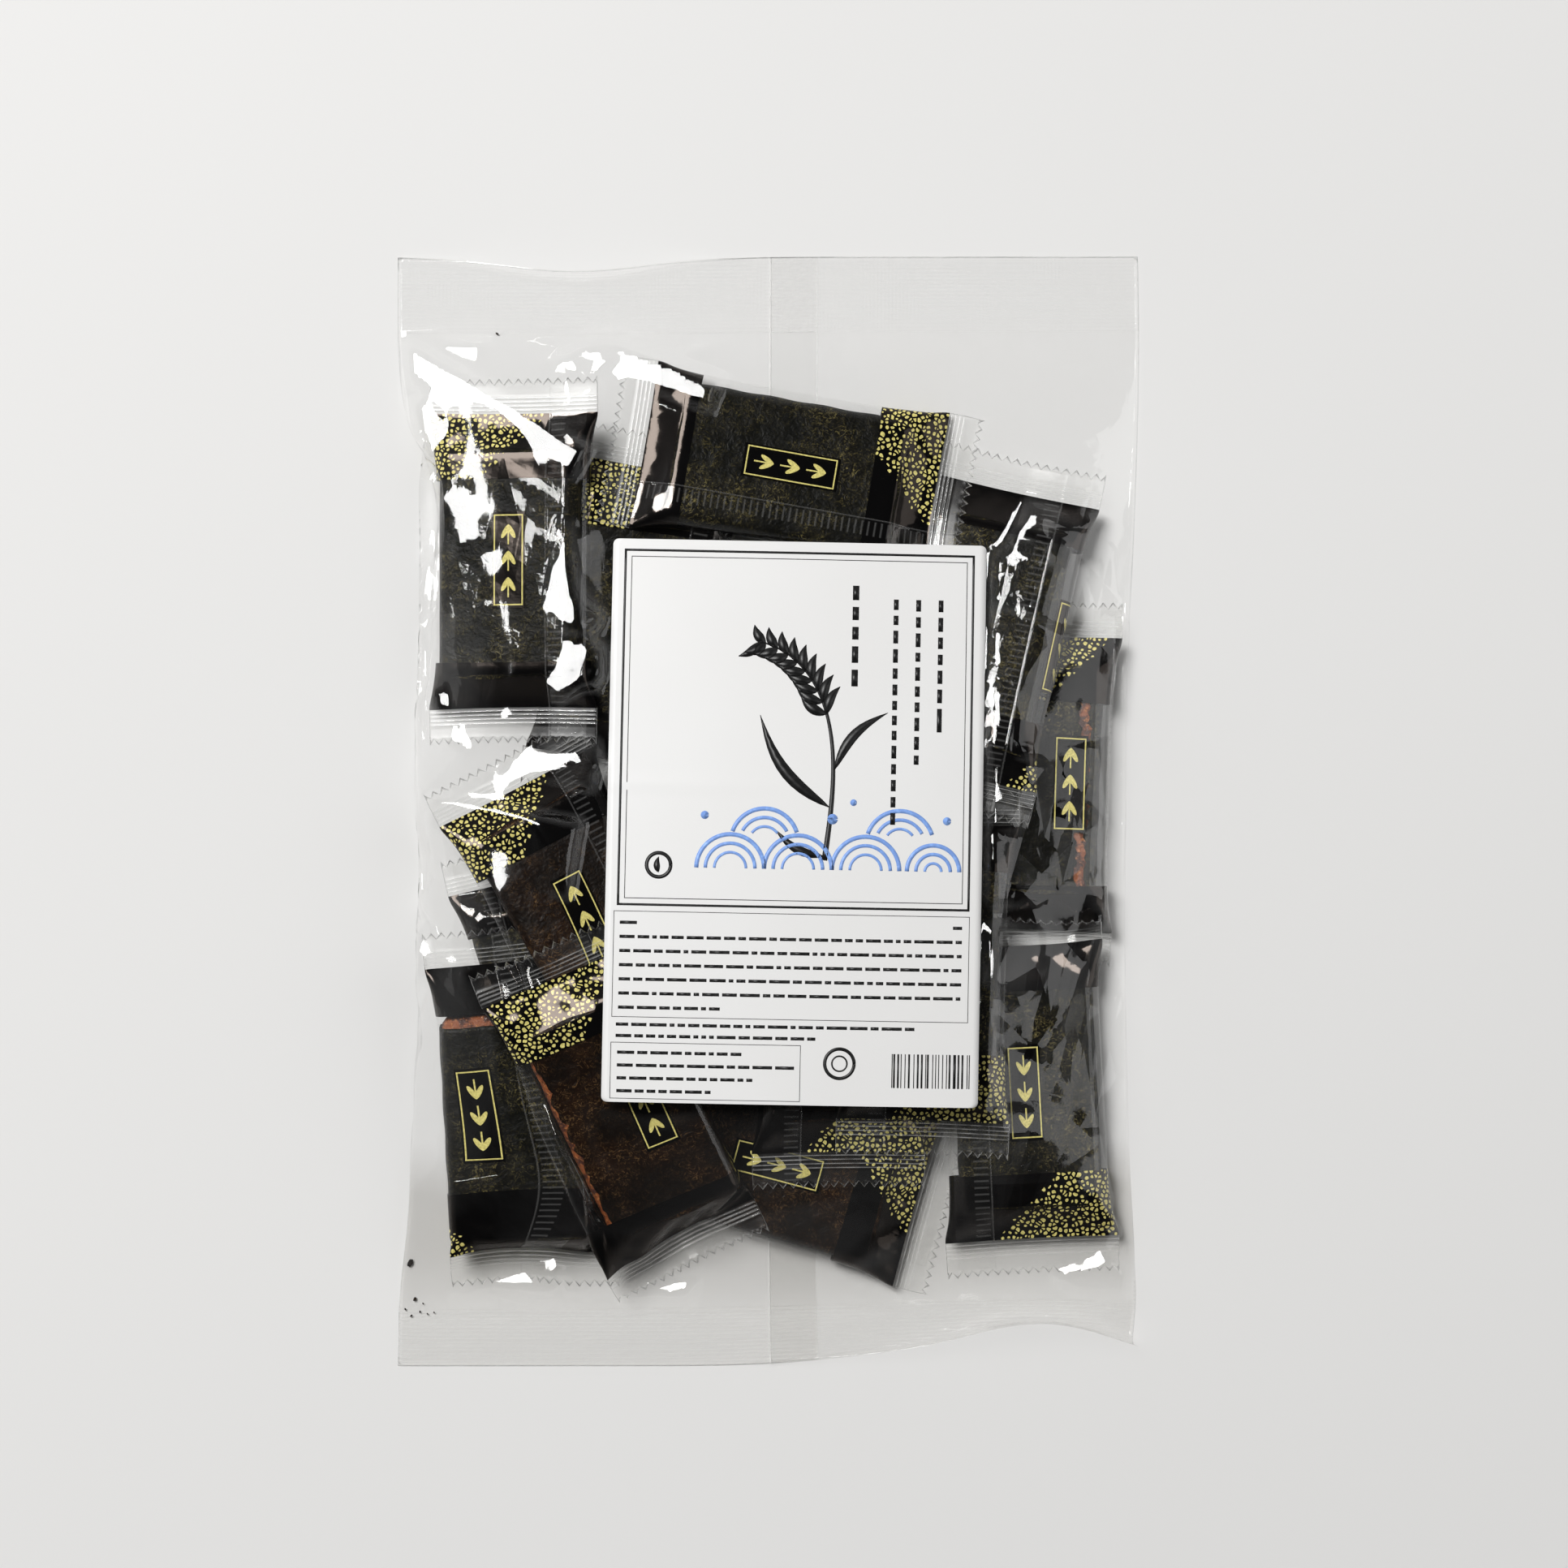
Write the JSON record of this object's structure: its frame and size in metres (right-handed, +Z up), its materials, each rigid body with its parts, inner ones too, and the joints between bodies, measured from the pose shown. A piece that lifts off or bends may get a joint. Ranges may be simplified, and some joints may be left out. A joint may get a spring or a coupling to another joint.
{
  "type": "bag of wrapped rice crackers",
  "caption": "Clear film pillow bag of single-wrapped, seaweed-covered rice crackers, lying flat with its paper label up, sealed at both ends",
  "frame": {"origin": "middle of the bag's footprint, on the surface that it lies on", "axes": "+Z up through the label, +Y along the bag towards its top seal, +X across it"},
  "size_m": [0.2, 0.3, 0.0295],
  "materials": {
    "bag_film": "clear glossy film",
    "label": "smooth satin",
    "wrap_film": "clear glossy film with black and gold print",
    "seaweed": "rough, fibrous",
    "cracker": "baked, rough"
  },
  "bodies": {
    "root": {"bag": "bag_film", "front_label": "label"}
  },
  "joints": []
}
